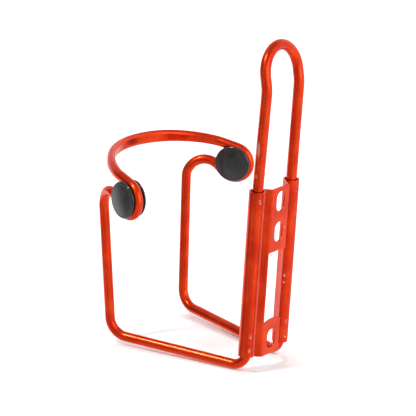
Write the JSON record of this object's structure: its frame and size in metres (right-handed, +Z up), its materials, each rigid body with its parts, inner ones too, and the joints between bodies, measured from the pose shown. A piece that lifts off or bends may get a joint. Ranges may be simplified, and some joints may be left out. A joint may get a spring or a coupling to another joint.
{
  "type": "water bottle cage",
  "caption": "Bent-rod bicycle bottle cage with a curled sheet back plate, a tall upper loop, a flattened front strap and turning round buttons in its eyes.",
  "frame": {"origin": "centre of the mounting face: on the rear face of the back plate's web, on its middle line, halfway between the two upper slots", "axes": "+Y points out of the mounting face at the bicycle's tube, +Z runs up the plate towards the upper loop, -Y points at the bottle, and +X is square to both, across the plate"},
  "size_m": [0.0916, 0.0844, 0.1482],
  "materials": {
    "back_plate": "satin red-orange anodised aluminium sheet, worn pale at the cut edges",
    "upper_loop": "red-orange anodised aluminium rod with soft bright highlights",
    "cage_wire": "red-orange anodised aluminium rod, pressed flat along the strap",
    "left_outer_cap": "black gloss plastic",
    "left_inner_cap": "black gloss plastic",
    "right_outer_cap": "black gloss plastic",
    "right_inner_cap": "black gloss plastic"
  },
  "bodies": {
    "cage": {"back_plate": "back_plate", "upper_loop": "upper_loop", "cage_wire": "cage_wire"},
    "left_button": {"left_outer_cap": "left_outer_cap", "left_inner_cap": "left_inner_cap"},
    "right_button": {"right_outer_cap": "right_outer_cap", "right_inner_cap": "right_inner_cap"}
  },
  "joints": [
    {"name": "left_button_turn", "type": "hinge", "parent": "cage", "child": "left_button", "pos_m": [-0.03959, -0.05295, 0.0042], "axis": [-0.9563, -0.2924, 0], "continuous": true},
    {"name": "right_button_turn", "type": "hinge", "parent": "cage", "child": "right_button", "pos_m": [0.03959, -0.05295, 0.0042], "axis": [0.9563, -0.2924, 0], "continuous": true}
  ]
}
